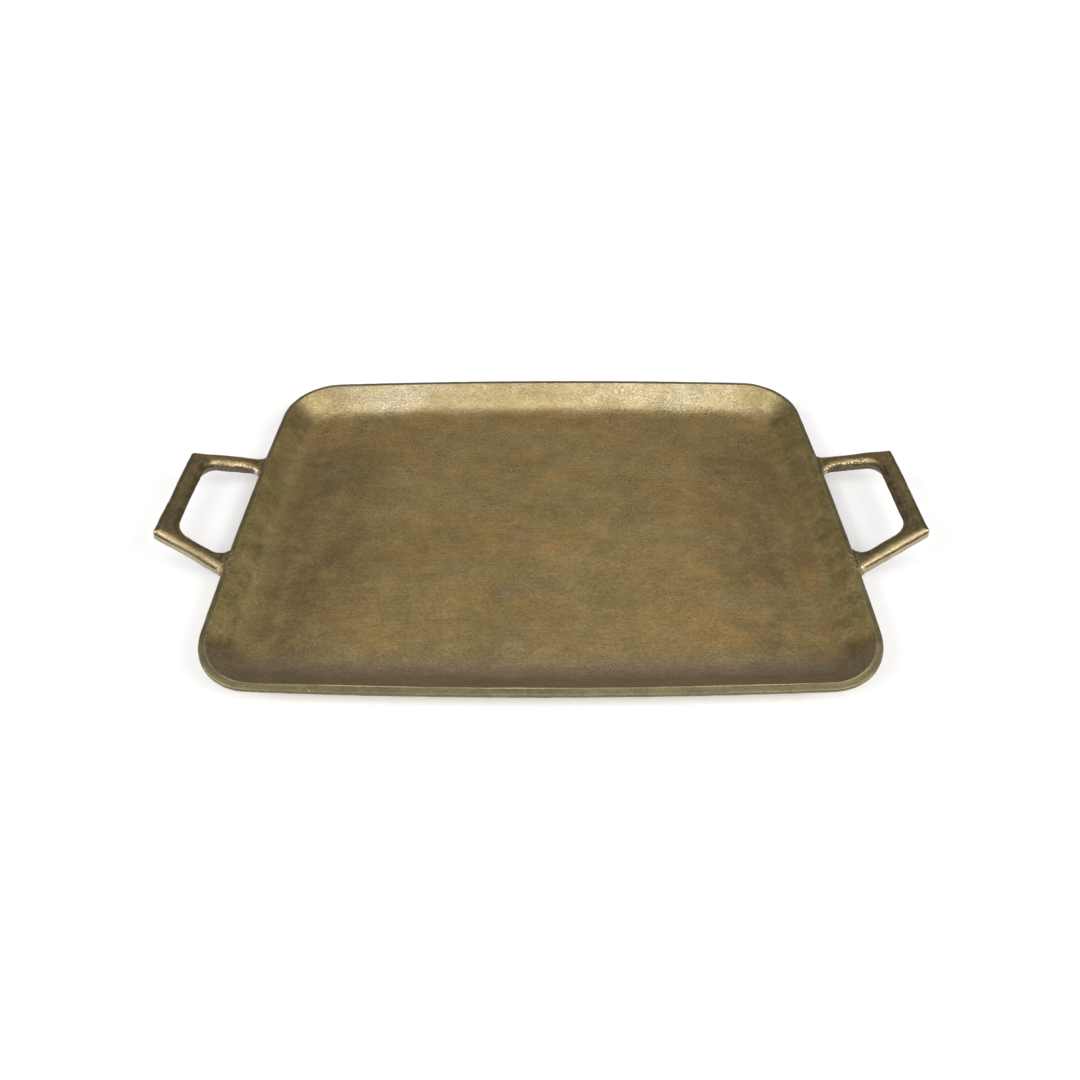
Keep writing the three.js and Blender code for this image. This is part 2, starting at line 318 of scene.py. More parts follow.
def pan_rings(outline):
    """Rings from the middle of the floor over the rim to the middle of the base, and what
    each ring is: its height, its rise up the cove, and the part of the pan it lies on."""
    line = pan_profile()
    well = outline.at(line[0, 0])
    heel = outline.at(line[-1, 0])
    shrink = np.concatenate([np.linspace(0.012, 0.985, 52), [0.995]])
    floor = [np.c_[well * size, np.full(outline.count, FLOOR_THICKNESS)] for size in shrink]
    wall = [np.c_[outline.at(inset), np.full(outline.count, height)] for inset, height in line]
    base = [np.c_[heel * size, np.zeros(outline.count)] for size in np.linspace(0.97, 0.02, 16)]
    rings = np.array(floor + wall + base)
    height = rings[:, 0, 2]
    level = np.arange(len(rings))
    crest_level = len(floor) + int(np.argmax(line[:, 1]))
    inside = level <= crest_level
    rise = np.clip((height - FLOOR_THICKNESS) / (RIM_HEIGHT - FLOOR_THICKNESS), 0, 1)
    band = ~inside & (height > RIM_HEIGHT - RIM_EDGE - 0.1 * MM)
    part = {
        "height": height,
        "rise": rise,
        "inside": inside,
        "cove": inside * smoothstep(0.0, 0.3, rise),
        "crest": np.exp(-(((level - crest_level) / 3.0) ** 2)),
        "band": band,
        "under": ~inside & ~band,
    }
    return rings, {name: values.astype(float)[:, None] for name, values in part.items()}


# each size of unevenness has its wavelength in millimetres, its seed and its waves
PAN_WAVES = {
    "broad": (95, 11, 28),
    "medium": (34, 12, 28),
    "small": (11, 13, 40),
    "pebble": (4.2, 14, 60),
    "crumb": (2.6, 16, 60),
}
# how far each part of the pan wanders off true, in millimetres
FLOOR_WANDER = {"broad": 0.14, "medium": 0.05, "small": 0.006}
COVE_WANDER = {"broad": 0.10, "medium": 0.07, "small": 0.014, "pebble": 0.007}
BAND_WANDER = {"small": 0.035}
UNDER_WANDER = {"medium": 0.10}
BRAZE_WANDER = {"crumb": 0.10}


def beside_arms(rings):
    """Up to 1 where the rim meets a handle arm, fading out along the rim."""
    off_arm = np.abs(rings[:, :, 1]) - SPREAD_AT_RIM / 2
    at_end = smoothstep(0.9, 0.95, np.abs(rings[:, :, 0]) / HALF_LENGTH)
    return np.exp(-((off_arm / BRAZE_REACH) ** 2)) * at_end


def pan_push(rings, part, near_arm):
    """How far each point of the pan stands off true, along its normal."""
    waves = {size: ring_field(rings, *wave) for size, wave in PAN_WAVES.items()}

    def wander(amounts):
        return sum(amount * waves[size] for size, amount in amounts.items())

    push = part["inside"] * (1 - part["cove"]) * wander(FLOOR_WANDER)
    push = push + part["cove"] * wander(COVE_WANDER)
    push = push + part["band"] * wander(BAND_WANDER) + part["under"] * wander(UNDER_WANDER)
    # where the rim meets a handle arm it is lumpy with braze
    push = push + near_arm * (part["band"] + part["crest"]) * wander(BRAZE_WANDER)
    # the edge and the underside only ever move inwards, so the tray keeps its size
    push = (push - EDGE_PULL * part["band"]) * MM
    outside = part["band"] + part["under"] > 0
    push = np.where(outside, np.minimum(push, 0), push)
    return np.where(outside & (part["height"] < 0.5 * MM), 0, push)


def pan_marks(rings, part, near_arm):
    """Where the pan is dulled, darkened, scorched, in painted shade or under a painted highlight,
    each mark from 0 to 1.
    """
    inside, rise, cove = part["inside"], part["rise"], part["cove"]
    crest, band = part["crest"], part["band"]
    across = rings[:, :, 1] / HALF_WIDTH
    aside = np.abs(rings[:, :, 0]) / HALF_LENGTH
    # the painted highlight on the far cove is brightest some way in from its two corners
    far_highlight = 0.28 + 0.72 * np.exp(-(((aside - 0.58) / 0.17) ** 2))
    return {
        "cove": cove,
        "foot": inside * np.exp(-(((rise - 0.05) / 0.06) ** 2)),
        "band": band,
        "crest": crest,
        "under": part["under"],
        "braze": near_arm * np.maximum(band, crest),
        "shade": smoothstep(-0.70, -0.87, across) * np.maximum(inside, 0.8 * band),
        "far": smoothstep(0.62, 0.86, across) * cove * far_highlight,
        "back_cove": smoothstep(0.66, 0.90, across) * (rise > 0.01) * inside,
        "side_cove": cove * smoothstep(0.80, 0.92, aside) * smoothstep(0.80, 0.60, np.abs(across)),
        "corner": cove * smoothstep(0.72, 0.84, aside) * smoothstep(0.55, 0.75, across),
        "ends": (
            inside
            * (1 - 0.6 * cove)
            * smoothstep(0.80, 0.30, across)
            * smoothstep(0.50, 0.72, aside)
        ),
        "rear": smoothstep(-0.25, 0.75, across),
    }


def make_pan():
    true, part = pan_rings(PanOutline(side_steps=118, end_steps=82, corner_steps=34))
    near_arm = beside_arms(true)
    rings = true + ring_normals(true) * pan_push(true, part, near_arm)[:, :, None]
    # the worn crest dips a little along its length
    dip = CREST_WANDER * (ring_field(true, 60, 15) - 1)
    rings[:, :, 2] += np.minimum(dip, 0) * part["crest"]
    rings[:, :, 2] = np.clip(rings[:, :, 2], 0, RIM_HEIGHT)
    return grid_mesh("tray_pan_skin", rings, pan_marks(rings, part, near_arm))


# ---- handles --------------------------------------------------------------------------------
SEAM_HEIGHT = 2.0 * MM
SEAM_WIDTH = 0.55 * MM
SEAM_DEPTH = 0.40
SEAM_FADE = 0.8 * MM
SHOULDER_LIFT = 1.0 * MM
SHOULDER_WIDTH = 0.6 * MM
CROWN_START = 2.4 * MM
CROWN_FULL = 4.6 * MM
FAR_ARM_START = 24 * MM
FAR_ARM_FULL = 31 * MM
ROOT_X = HALF_LENGTH - ROOT_INSET


def bar_section():
    """(inset, height) down the section: domed top, worn shoulder, creased side, underside."""
    half = BAR_THICKNESS / 2
    turn = math.asin((CROWN_FLAT - SHOULDER_INSET) / CROWN_RADIUS)
    angle = turn * np.arange(14) / 14
    drop = CROWN_RADIUS * (1 - np.cos(angle))
    dome = np.stack([CROWN_FLAT - CROWN_RADIUS * np.sin(angle), half - drop], 1)
    corners = [
        (*dome[-1], 0),
        (SHOULDER_INSET, half - CROWN_RADIUS * (1 - math.cos(turn)), SHOULDER_ROUND),
        (0, CREASE_HEIGHT, CREASE_ROUND),
        (UNDER_TAPER, -half, UNDER_ROUND),
        (CROWN_FLAT, -half, 0),
    ]
    side = open_line(finely(corners, (1, 6, 4, 8, 1)), (1, 7, 8, 2))
    return np.concatenate([dome[:-1], side])


SECTION = bar_section()


def grip_reach():
    reach = (GRIP_WIDTH / 2 - SECTION[:, 0]) * math.cos(HANDLE_ANGLE)
    return float(np.max(reach - SECTION[:, 1] * math.sin(HANDLE_ANGLE)))


GRIP_OUT = (TIP - grip_reach() - ROOT_X) / math.cos(HANDLE_ANGLE)
ARM_LEAN = math.atan2((SPREAD_AT_RIM - SPREAD_AT_GRIP) / 2, GRIP_OUT)
RIM_LINE = ROOT_INSET / math.cos(HANDLE_ANGLE)


def arm_edge(out, outside):
    half = ARM_WIDTH / 2 / math.cos(ARM_LEAN)
    return SPREAD_AT_RIM / 2 - out * math.tan(ARM_LEAN) + (half if outside else -half)


def handle_corners(height):
    """The C-shaped outline of a handle and its joints at a height in the handle plane."""
    rim = RIM_LINE + height * math.tan(HANDLE_ANGLE)
    tip = GRIP_OUT + GRIP_WIDTH / 2
    hole = GRIP_OUT - GRIP_WIDTH / 2
    inside, outside = arm_edge(rim, False), arm_edge(rim, True)
    half = [
        (hole, arm_edge(hole, False), INNER_CORNER),
        (rim, inside, INNER_FILLET),
        (rim, inside - INNER_SHOULDER, 0),
        (rim - JOINT_REACH, inside - INNER_SHOULDER, TAIL_RADIUS),
        (rim - JOINT_REACH, outside + OUTER_SHOULDER, TAIL_RADIUS),
        (rim, outside + OUTER_SHOULDER, 0),
        (rim, outside, OUTER_FILLET),
        (tip, arm_edge(tip, True), OUTER_CORNER),
    ]
    return (half + [(x, -y, r) for x, y, r in reversed(half)])[::-1]


def to_world(flat, side):
    """Handle-plane coordinates (out, across, up) into the row frame."""
    c, s = math.cos(HANDLE_ANGLE), math.sin(HANDLE_ANGLE)
    x = flat[..., 0] * c - flat[..., 2] * s + ROOT_X
    z = flat[..., 0] * s + flat[..., 2] * c + RIM_HEIGHT - ROOT_DROP
    return np.stack([x * side, flat[..., 1] * side, z], axis=-1)


def from_world(points, side):
    """The (out, up) handle-plane coordinates of points in the row frame."""
    c, s = math.cos(HANDLE_ANGLE), math.sin(HANDLE_ANGLE)
    x = points[:, 0] * side - ROOT_X
    z = points[:, 2] - (RIM_HEIGHT - ROOT_DROP)
    return x * c + z * s, z * c - x * s


def handle_rings(side):
    """The whole C-shaped outline lofted down the section, one ring for each level."""
    places = np.array(handle_corners(0))[:, :2]
    gaps = np.linalg.norm(places - np.roll(places, -1, axis=0), axis=1)
    steps = [max(int(gap / HANDLE_STEP), 2) for gap in gaps]
    rings = []
    for inset, height in SECTION:
        line = closed_line(rounded(inset_corners(handle_corners(height), inset), 14), steps)
        rings.append(np.c_[line, np.full(len(line), height)])
    return to_world(np.array(rings), side)


def facing(amount):
    """1 where a normal leans well towards a direction, 0 where it hardly does."""
    return smoothstep(0.3, 0.75, amount)


def facing_front(normal):
    return smoothstep(0.4, 0.8, -normal[..., 1])


def below_seam(up):
    return smoothstep(SEAM_HEIGHT, SEAM_HEIGHT - SEAM_FADE, up)


def bar_marks(points, normal, up, side):
    """The marks of the arm brass, which handles and joints share."""
    front = facing_front(normal)
    crown = smoothstep(CROWN_START, CROWN_FULL, up)
    return {
        "front": front,
        "crown": crown,
        "facet": below_seam(up) * front * (points[..., 1] < 0),
        "inner": facing(-side * normal[..., 0]) * (1 - crown),
    }


def cut_at_joints(mesh, side):
    """Cut the joints' share off a handle, square and just inside the joints."""
    cut = RIM_LINE + JOINT_LENGTH - JOINT_OVERLAP
    place = to_world(np.array([cut, 0.0, 0.0]), side)
    out = to_world(np.array([cut + 1.0, 0.0, 0.0]), side) - place
    skin = bmesh.new()
    skin.from_mesh(mesh)
    everything = skin.verts[:] + skin.edges[:] + skin.faces[:]
    bmesh.ops.bisect_plane(skin, geom=everything, plane_co=place, plane_no=out, clear_inner=True)
    bmesh.ops.holes_fill(skin, edges=[edge for edge in skin.edges if edge.is_boundary], sides=0)
    skin.to_mesh(mesh)
    skin.free()


def make_handle(name, side, seed):
    """One handle, worn and a little uneven, with a scored line along each arm's front."""
    true = handle_rings(side)
    normal = ring_normals(true)
    up = SECTION[:, 1][:, None]
    push = 0.12 * ring_field(true, 26, seed) + 0.045 * ring_field(true, 7, seed + 1, 40)
    push = np.minimum(push - 0.22, 0)
    # the line is deep on the near arms and half as deep on the far ones
    seam = np.exp(-(((up - SEAM_HEIGHT) / SEAM_WIDTH) ** 2)) * facing_front(normal)
    seam = np.where(true[:, :, 1] < 0, 1.0, 0.5) * seam
    rings = true + normal * ((push - SEAM_DEPTH * seam) * MM)[:, :, None]
    marks = bar_marks(rings, normal, up, side)
    across = rings[:, :, 1]
    far = smoothstep(FAR_ARM_START, FAR_ARM_FULL, across)
    marks["seam"] = seam
    marks["shoulder"] = np.exp(-(((up - SEAM_HEIGHT - SHOULDER_LIFT) / SHOULDER_WIDTH) ** 2))
    # painted shade on the far arms' lower front facets
    marks["far_facet"] = below_seam(up) * marks["front"] * (across > 0)
    marks["far_front"] = marks["front"] * far
    marks["far_arm"] = marks["crown"] * far
    marks["outer"] = facing(side * normal[..., 0]) * (1 - marks["crown"])
    mesh = grid_mesh(name, rings, marks)
    cut_at_joints(mesh, side)
    return mesh


# ---- node material helpers -------------------------------------------------------------------
class Nodes:
    """A short way to write node trees."""

    def __init__(self, name):
        self.material = bpy.data.materials.new(name)
        self.material.use_nodes = True
        self.tree = self.material.node_tree
        self.tree.nodes.clear()
        self.out = self.tree.nodes.new("ShaderNodeOutputMaterial")
        self.shader = self.tree.nodes.new("ShaderNodeBsdfPrincipled")
        self.tree.links.new(self.shader.outputs[0], self.out.inputs["Surface"])

    def add(self, kind, **settings):
        node = self.tree.nodes.new(kind)
        for key, value in settings.items():
            setattr(node, key, value)
        return node

    def feed(self, socket, value):
        if isinstance(value, bpy.types.NodeSocket):
            self.tree.links.new(value, socket)
        else:
            socket.default_value = value

    def place(self, scale, shift):
        """Object coordinates in millimetres, scaled and shifted."""
        coords = self.add("ShaderNodeTexCoord")
        mapping = self.add("ShaderNodeMapping")
        self.feed(mapping.inputs["Vector"], coords.outputs["Object"])
        mapping.inputs["Scale"].default_value = [s / MM for s in scale]
        mapping.inputs["Location"].default_value = shift
        return mapping.outputs["Vector"]

    def noise(self, size, detail=4, rough=0.55, stretch=(1, 1, 1), warp=0, shift=(0, 0, 0)):
        """Noise with features about size millimetres across."""
        node = self.add("ShaderNodeTexNoise")
        self.feed(node.inputs["Vector"], self.place([1 / (size * s) for s in stretch], shift))
        node.inputs["Scale"].default_value = 1
        node.inputs["Detail"].default_value = detail
        node.inputs["Roughness"].default_value = rough
        node.inputs["Distortion"].default_value = warp
        return node.outputs["Fac"]

    def cells(self, size, shift):
        """Distance from the middle of each cell of a pattern of cells of a size."""
        node = self.add("ShaderNodeTexVoronoi")
        self.feed(node.inputs["Vector"], self.place([1 / size] * 3, shift))
        node.inputs["Scale"].default_value = 1
        return node.outputs["Distance"]

    def mark(self, name):
        return self.add("ShaderNodeAttribute", attribute_name=name).outputs["Fac"]

    def remap(self, value, low, high, to_low=0.0, to_high=1.0):
        """A smooth step from one number to another."""
        node = self.add("ShaderNodeMapRange", interpolation_type="SMOOTHSTEP")
        self.feed(node.inputs["Value"], value)
        self.feed(node.inputs["From Min"], low)
        self.feed(node.inputs["From Max"], high)
        self.feed(node.inputs["To Min"], to_low)
        self.feed(node.inputs["To Max"], to_high)
        return node.outputs["Result"]

    def math(self, operation, a, b):
        node = self.add("ShaderNodeMath", operation=operation)
        self.feed(node.inputs[0], a)
        self.feed(node.inputs[1], b)
        return node.outputs[0]

    def times(self, first, *others):
        for other in others:
            first = self.math("MULTIPLY", first, other)
        return first

    def mix(self, factor, a, b, blend="MIX"):
        node = self.add("ShaderNodeMix", data_type="RGBA", blend_type=blend)
        node.clamp_factor = True
        self.feed(node.inputs["Factor"], factor)
        self.feed(node.inputs["A"], a if isinstance(a, bpy.types.NodeSocket) else (*a, 1))
        self.feed(node.inputs["B"], b if isinstance(b, bpy.types.NodeSocket) else (*b, 1))
        return node.outputs["Result"]

    def bump(self, height, distance, after=None):
        """Bump in millimetres of height."""
        node = self.add("ShaderNodeBump")
        node.inputs["Distance"].default_value = distance * MM
        self.feed(node.inputs["Height"], height)
        if after is not None:
            self.feed(node.inputs["Normal"], after)
        return node.outputs["Normal"]


# ---- colours of the brass, as linear red, green and blue ---------------------------
OLIVE_BRASS = (0.465, 0.352, 0.156)
GOLDEN_BRASS = (0.540, 0.412, 0.186)
WARM_BRASS = (0.62, 0.375, 0.132)
OLIVE_TARNISH = (0.300, 0.266, 0.116)
DUSKY_BROWN = (0.250, 0.187, 0.098)
VIOLET_BLOOM_AND_SHADE = (0.335, 0.270, 0.198)
BACK_COVE_BROWN = (0.360, 0.285, 0.140)
PALE_FAR_HIGHLIGHT = (0.555, 0.480, 0.330)
SIDE_COVE_BRASS = (0.500, 0.385, 0.165)
FOOT_ORANGE = (0.44, 0.275, 0.095)
SHADED_GREY = (0.350, 0.285, 0.200)
CORNER_BROWN = (0.310, 0.238, 0.108)
DULL_BAND = (0.245, 0.212, 0.118)
SHADED_BAND = (0.165, 0.138, 0.066)
WORN_CREST = (0.60, 0.50, 0.28)
DULL_UNDERSIDE = (0.26, 0.215, 0.115)
SCORCHED = (0.23, 0.155, 0.095)
BRAZE_CRUMBS = (0.50, 0.36, 0.26)
DARK_PITS = (0.125, 0.098, 0.070)
BURNISHED_AND_GLINTS = (0.84, 0.79, 0.68)
ARM_DARK = (0.215, 0.170, 0.088)
ARM_PALE = (0.310, 0.240, 0.122)
ARM_WARM = (0.335, 0.225, 0.105)
FAR_ARM_BROWN = (0.340, 0.240, 0.105)
POLISH_AND_HIGHLIGHT = (0.67, 0.555, 0.330)
WORN_SHOULDER = (0.60, 0.50, 0.31)
INNER_SHADE = (0.095, 0.068, 0.052)
OUTER_DULL = (0.15, 0.115, 0.072)
FACET_SHADE_BROWN = (0.320, 0.258, 0.148)
FAR_FACET_SHADE = (0.090, 0.062, 0.040)
SEAM_SHADE_RED = (0.060, 0.016, 0.008)
RUBS_PALE = (0.62, 0.48, 0.33)
BRAZE_DARK = (0.150, 0.112, 0.060)
BRAZE_PALE = (0.300, 0.225, 0.118)
BRAZE_PINK = (0.40, 0.270, 0.180)


def tinted(m, colour, mask, strength, tint):
    """Colour with a tint mixed in where a mask says so."""
    return m.mix(m.times(mask, strength), colour, tint)


def pan_material():
    m = Nodes("antique_brass_pan")
    cove, foot, band, crest = m.mark("cove"), m.mark("foot"), m.mark("band"), m.mark("crest")
    far, rear = m.mark("far"), m.mark("rear")
    under, braze, shade = m.mark("under"), m.mark("braze"), m.mark("shade")
    # olive brown metal with warm rubbed patches
    broad = m.remap(m.noise(60, 6, 0.62, stretch=(1.5, 1, 1)), 0.34, 0.66)
    colour = m.mix(broad, OLIVE_BRASS, GOLDEN_BRASS)
    warm = m.remap(m.noise(30, 7, 0.68, stretch=(2.4, 1, 1), warp=0.2, shift=(7, 3, 0)), 0.47, 0.66)
    warm = m.times(warm, m.remap(cove, 0, 1, 1.0, 0.45))
    colour = tinted(m, colour, warm, 0.55, WARM_BRASS)
    olive = m.remap(m.noise(24, 7, 0.68, stretch=(2.0, 1, 1), shift=(21, 5, 2)), 0.50, 0.66)
    colour = tinted(m, colour, olive, 0.38, OLIVE_TARNISH)
    # darker and browner in broad patches beside the two short coves
    dusky = m.noise(38, 6, 0.66, stretch=(0.8, 1.3, 1), shift=(17, 2, 9))
    dusky = m.remap(dusky, 0.36, 0.58, 0.35, 1.0)
    colour = tinted(m, colour, m.times(dusky, m.mark("ends")), 0.75, DUSKY_BROWN)
    # a greyish, faintly violet bloom in patches, and a greyish painted shade over the front cove
    bloom_and_shade = m.remap(m.noise(34, 7, 0.7, shift=(13, 31, 5)), 0.55, 0.70)
    bloom_and_shade = m.math("MAXIMUM", m.times(bloom_and_shade, 0.45), m.times(shade, 0.75))
    colour = m.mix(bloom_and_shade, colour, VIOLET_BLOOM_AND_SHADE)
    # brushed lines along the tray, and fine mottling
    lines = m.remap(m.noise(1.3, 3, 0.6, stretch=(16, 1, 1), shift=(2, 6, 1)), 0.32, 0.68, 0.95, 1.05)
    mottle = m.noise(1.7, 5, 0.75, stretch=(1.3, 1, 1), shift=(1, 9, 4))
    mottle = m.remap(mottle, 0.30, 0.70, 0.82, 1.18)
    streaks = m.noise(8, 5, 0.7, stretch=(2.2, 1, 1), warp=0.3, shift=(31, 9, 4))
    streaks = m.remap(streaks, 0.32, 0.68, 0.93, 1.07)
    value = m.times(lines, mottle, streaks)
    # fine dark pits in clusters
    cluster = m.remap(m.noise(24, 7, 0.7, shift=(3, 14, 8)), 0.43, 0.60)
    pits = m.remap(m.noise(1.0, 2, 0.5, stretch=(1.25, 1, 1), shift=(5, 5, 5)), 0.535, 0.63)
    clustered = m.remap(cluster, 0, 1, 0.30, 1.0)
    rearwards = m.remap(rear, 0, 1, 0.70, 1.25)
    off_floor = m.remap(m.math("ADD", cove, band), 0, 1, 1.0, 0.35)
    pits = m.times(pits, clustered, rearwards, off_floor)
    # the far cove carries a patchy painted highlight, and every cove has a warm line at its foot
    far_highlight = m.noise(48, 5, 0.6, stretch=(1.6, 1.6, 1), shift=(9, 2, 6))
    far_highlight = m.remap(far_highlight, 0.32, 0.66, 0.35, 1.0)
    colour = tinted(m, colour, m.mark("back_cove"), 0.50, BACK_COVE_BROWN)
    # painted highlight: the far cove paled where it catches the light
    colour = tinted(m, colour, m.times(far, far_highlight), 0.62, PALE_FAR_HIGHLIGHT)
    colour = tinted(m, colour, m.mark("side_cove"), 0.55, SIDE_COVE_BRASS)
    colour = tinted(m, colour, foot, 0.40, FOOT_ORANGE)
    colour = tinted(m, colour, shade, 0.40, SHADED_GREY)
    colour = tinted(m, colour, m.mark("corner"), 0.75, CORNER_BROWN)
    # the rim band is dull and in painted shade at the front, its crest is worn bright, and both are
    # scorched beside the arms
    colour = tinted(m, colour, band, 0.80, DULL_BAND)
    colour = tinted(m, colour, m.times(band, shade), 0.85, SHADED_BAND)
    colour = tinted(m, colour, crest, 0.65, WORN_CREST)
    colour = tinted(m, colour, under, 0.50, DULL_UNDERSIDE)
    scorch = m.times(braze, m.remap(m.noise(3.0, 5, 0.7, shift=(6, 1, 1)), 0.36, 0.58))
    colour = tinted(m, colour, scorch, 0.92, SCORCHED)
    crumbs = m.remap(m.noise(1.3, 3, 0.6, shift=(16, 4, 1)), 0.54, 0.62)
    colour = tinted(m, colour, m.times(crumbs, braze), 0.7, BRAZE_CRUMBS)
    colour = m.mix(1.0, colour, value_colour(m, value), "MULTIPLY")
    colour = tinted(m, colour, pits, 0.78, DARK_PITS)
    # a few burnished flecks, and a fine bright sparkle of painted glints that is thickest in the lit
    # far cove
    flecks = m.remap(m.cells(9, shift=(3, 8, 3)), 0.030, 0.055, 1.0, 0.0)
    flecks = m.times(flecks, m.remap(m.noise(17, 4, 0.6, shift=(33, 4, 8)), 0.50, 0.60))
    sparkle = m.remap(m.noise(0.9, 2, 0.5, shift=(15, 5, 9)), 0.54, 0.63)
    patchy = m.remap(m.noise(26, 5, 0.6, shift=(40, 12, 3)), 0.38, 0.62)
    in_back = m.remap(m.mark("back_cove"), 0, 1, 0.12, 1.0)
    off_corner = m.remap(m.mark("corner"), 0, 1, 1.0, 0.3)
    bright = m.math("MAXIMUM", flecks, m.times(sparkle, patchy, in_back, off_corner))
    colour = tinted(m, colour, bright, 0.66, BURNISHED_AND_GLINTS)
    m.feed(m.shader.inputs["Base Color"], colour)
    m.feed(m.shader.inputs["Metallic"], m.remap(bloom_and_shade, 0, 1, 1.0, 0.72))
    rough = m.remap(m.noise(12, 6, 0.7, shift=(8, 8, 1)), 0.32, 0.68, 0.40, 0.54)
    rough = m.math("ADD", rough, m.times(pits, 0.18))
    rough = m.math("ADD", rough, m.times(scorch, 0.12))
    rough = m.math("SUBTRACT", rough, m.times(crest, 0.12))
    m.feed(m.shader.inputs["Roughness"], rough)
    # cast grain everywhere, strongest in the cove; pits sink in
    grain = m.noise(1.15, 4, 0.65, shift=(2, 2, 2))
    lumps = m.noise(3.4, 3, 0.5, stretch=(1.3, 1, 1), shift=(4, 1, 6))
    normal = m.bump(m.times(lumps, m.remap(cove, 0, 1, 0.35, 1.0)), 0.14)
    normal = m.bump(m.times(grain, m.remap(far, 0, 1, 0.55, 1.60)), 0.18, after=normal)
    normal = m.bump(m.times(pits, -1.0), 0.07, after=normal)
    crumbling = m.times(m.noise(1.6, 4, 0.7, shift=(9, 9, 2)), scorch)
    normal = m.bump(crumbling, 0.5, after=normal)
    m.feed(m.shader.inputs["Normal"], normal)
    return m.material


def value_colour(m, value):
    """A number as a grey colour."""
    node = m.add("ShaderNodeCombineColor")
    for channel in node.inputs:
        m.feed(channel, value)
    return node.outputs[0]


def arm_colour(m):
    """Dull domed top, hand-polished front with a painted highlight, darker outer sides, painted shade
    on the inner sides and lower front facets, and a reddish scored line in painted shade.
    """
    front, crown = m.mark("front"), m.mark("crown")
    colour = m.mix(m.remap(m.noise(16, 6, 0.65), 0.35, 0.65), ARM_DARK, ARM_PALE)
    warm = m.remap(m.noise(9, 6, 0.65, shift=(7, 3, 0)), 0.50, 0.66)
    colour = tinted(m, colour, warm, 0.45, ARM_WARM)
    colour = tinted(m, colour, m.mark("far_arm"), 0.60, FAR_ARM_BROWN)
    hand_worn = m.remap(m.noise(7, 5, 0.6, shift=(1, 4, 9)), 0.25, 0.6, 0.7, 1.0)
    # the front-facing sides are hand-polished and also carry a painted highlight
    polish_and_highlight = m.times(front, hand_worn)
    colour = tinted(m, colour, polish_and_highlight, 0.80, POLISH_AND_HIGHLIGHT)
    colour = tinted(m, colour, m.mark("shoulder"), 0.35, WORN_SHOULDER)
    # painted shade on the sides that face the pan
    colour = tinted(m, colour, m.mark("inner"), 0.85, INNER_SHADE)
    colour = tinted(m, colour, m.mark("outer"), 0.55, OUTER_DULL)
    # painted shade on the lower front facets, darkest on the far arms
    colour = tinted(m, colour, m.mark("facet"), 0.85, FACET_SHADE_BROWN)
    colour = tinted(m, colour, m.mark("far_facet"), 0.92, FAR_FACET_SHADE)
    # painted shade in the scored line, a dark red
    colour = tinted(m, colour, m.remap(m.mark("seam"), 0.12, 0.55), 0.95, SEAM_SHADE_RED)
    rubs = m.remap(m.noise(1.0, 4, 0.7, shift=(3, 3, 7)), 0.56, 0.66)
    rubs = m.times(rubs, m.remap(m.noise(10, 4, 0.6, shift=(23, 3, 7)), 0.50, 0.62))
    colour = tinted(m, colour, m.times(rubs, crown), 0.75, RUBS_PALE)
    mottle = m.remap(m.noise(1.3, 5, 0.75, shift=(1, 9, 4)), 0.32, 0.68, 0.76, 1.24)
    blotch = m.remap(m.noise(5.5, 5, 0.7, shift=(11, 9, 4)), 0.36, 0.64, 0.86, 1.14)
    colour = m.mix(1.0, colour, value_colour(m, m.times(mottle, blotch)), "MULTIPLY")
    rough = m.remap(m.noise(5, 5, 0.6, shift=(3, 8, 1)), 0.32, 0.68, 0.36, 0.48)
    return colour, m.math("SUBTRACT", rough, m.times(polish_and_highlight, 0.14))


def handle_material():
    m = Nodes("antique_brass_handle")
    colour, rough = arm_colour(m)
    m.feed(m.shader.inputs["Base Color"], colour)
    m.shader.inputs["Metallic"].default_value = 1.0
    m.feed(m.shader.inputs["Roughness"], m.math("ADD", rough, m.times(m.mark("seam"), 0.3)))
    # small hammered dents, clearest on the front of the far arm
    lumps = m.noise(1.9, 3, 0.55, shift=(4, 1, 6))
    normal = m.bump(m.times(lumps, m.remap(m.mark("front"), 0, 1, 0.5, 1.0)), 0.10)
    dents = m.times(m.cells(1.3, shift=(4, 2, 6)), m.mark("far_front"))
    normal = m.bump(dents, 0.55, after=normal)
    normal = m.bump(m.noise(0.7, 3, 0.6, shift=(2, 2, 2)), 0.03, after=normal)
    m.feed(m.shader.inputs["Normal"], normal)
    return m.material


def joint_material():
    """Arm brass where the joint meets the arm, rough scorched braze towards the rim."""
    m = Nodes("rough_braze")
    ragged = m.remap(m.noise(2.6, 5, 0.7, shift=(9, 1, 4)), 0.3, 0.7, -0.35, 0.35)
    weld = m.remap(m.math("ADD", m.mark("weld"), ragged), 0.25, 0.75)
    bar, bar_rough = arm_colour(m)
    braze = m.mix(m.remap(m.noise(4, 6, 0.7), 0.36, 0.64), BRAZE_DARK, BRAZE_PALE)
    pink = m.remap(m.noise(1.8, 5, 0.7, shift=(3, 1, 2)), 0.52, 0.64)
    braze = tinted(m, braze, pink, 0.50, BRAZE_PINK)
    m.feed(m.shader.inputs["Base Color"], m.mix(weld, bar, braze))
    m.shader.inputs["Metallic"].default_value = 1.0
    rough = m.remap(m.noise(2, 5, 0.6), 0.3, 0.7, 0.42, 0.62)
    rough = m.math("MAXIMUM", bar_rough, m.times(rough, weld))
    m.feed(m.shader.inputs["Roughness"], rough)
    normal = m.bump(m.times(m.noise(1.5, 5, 0.7, shift=(4, 1, 6)), weld), 0.34)
    m.feed(m.shader.inputs["Normal"], normal)
    return m.material


# ---- camera, light and floor -------------------------------------------------------------------
CAMERA_ELEVATION = math.radians(50.58)
CAMERA_YAW = math.radians(-0.80)
CAMERA_ROLL = math.radians(-0.73)
CAMERA_DISTANCE = 0.4098
CAMERA_AIM = Vector((0.0002, -0.0284, RIM_HEIGHT))
CAMERA_LENS = 21.93


